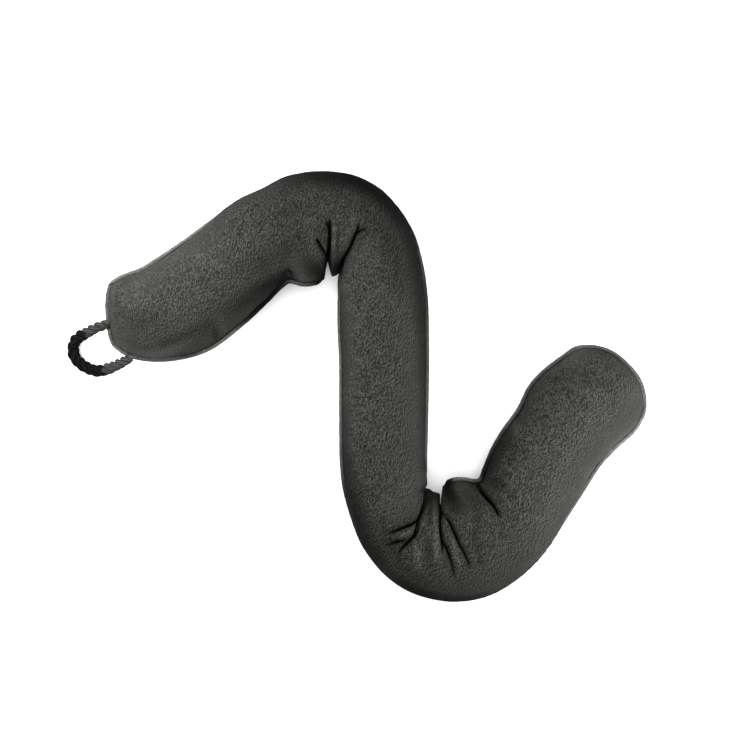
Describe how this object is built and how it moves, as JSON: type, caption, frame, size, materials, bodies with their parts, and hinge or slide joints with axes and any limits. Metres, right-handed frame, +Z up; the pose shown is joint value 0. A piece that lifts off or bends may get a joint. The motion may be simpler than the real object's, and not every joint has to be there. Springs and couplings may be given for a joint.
{
  "type": "draught excluder",
  "caption": "Long filled fleece tube for the foot of a door, lying in an S, with a piped seam all round and a twisted rope loop at one end.",
  "frame": {"origin": "on the resting plane, under the middle of the plan of the tube without its rope loop", "axes": "+Z up; +X from the end with the rope loop towards the far end; +Y towards the outside of the first bend"},
  "size_m": [0.5789, 0.4281, 0.0761],
  "materials": {
    "charcoal_fleece": "short matt nap",
    "grey_edging": "matt, lighter than the cover",
    "twisted_rope": "matt, black with grey ends"
  },
  "bodies": {
    "root": {"filled_cover": "charcoal_fleece", "seam_piping_1": "grey_edging", "seam_piping_2": "grey_edging", "hang_loop": "twisted_rope"}
  },
  "joints": []
}
